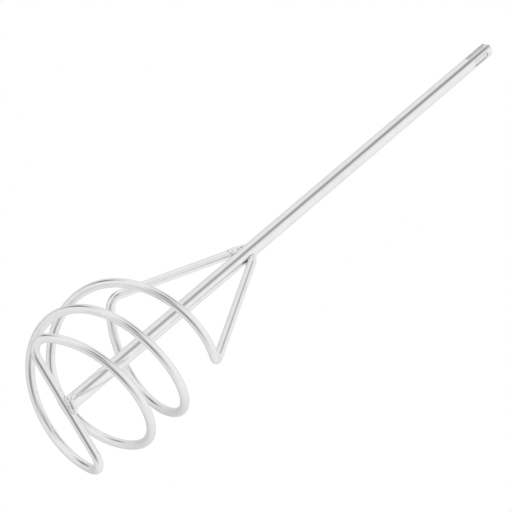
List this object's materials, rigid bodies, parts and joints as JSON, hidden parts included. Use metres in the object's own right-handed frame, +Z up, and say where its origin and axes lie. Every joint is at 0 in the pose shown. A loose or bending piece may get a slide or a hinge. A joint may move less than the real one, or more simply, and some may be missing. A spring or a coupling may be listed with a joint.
{
  "type": "mortar mixing paddle",
  "caption": "Spiral wire mixing paddle: a long round steel shaft with a slotted quick-change shank and an open right-hand helical basket of one bent wire, for stirring mortar and render.",
  "frame": {"origin": "on the shaft axis, in the plane where the shank enters the drill, 40 mm below the shaft tip", "axes": "+Z up along the shaft towards its tip and the drill; +X along the crossbar of the basket"},
  "size_m": [0.105, 0.105, 0.48],
  "materials": {
    "shaft_steel": "bright zinc plated bar, fine lengthwise drawing marks",
    "wire_steel": "bright zinc plated wire, fine drawing marks along its length",
    "weld_metal": "lumpy weld metal under the same bright plating"
  },
  "bodies": {
    "root": {"shaft": "shaft_steel", "basket_wire": "wire_steel", "weld_bottom_front": "weld_metal", "weld_bottom_back": "weld_metal", "weld_top_a": "weld_metal", "weld_top_b": "weld_metal"}
  },
  "joints": []
}
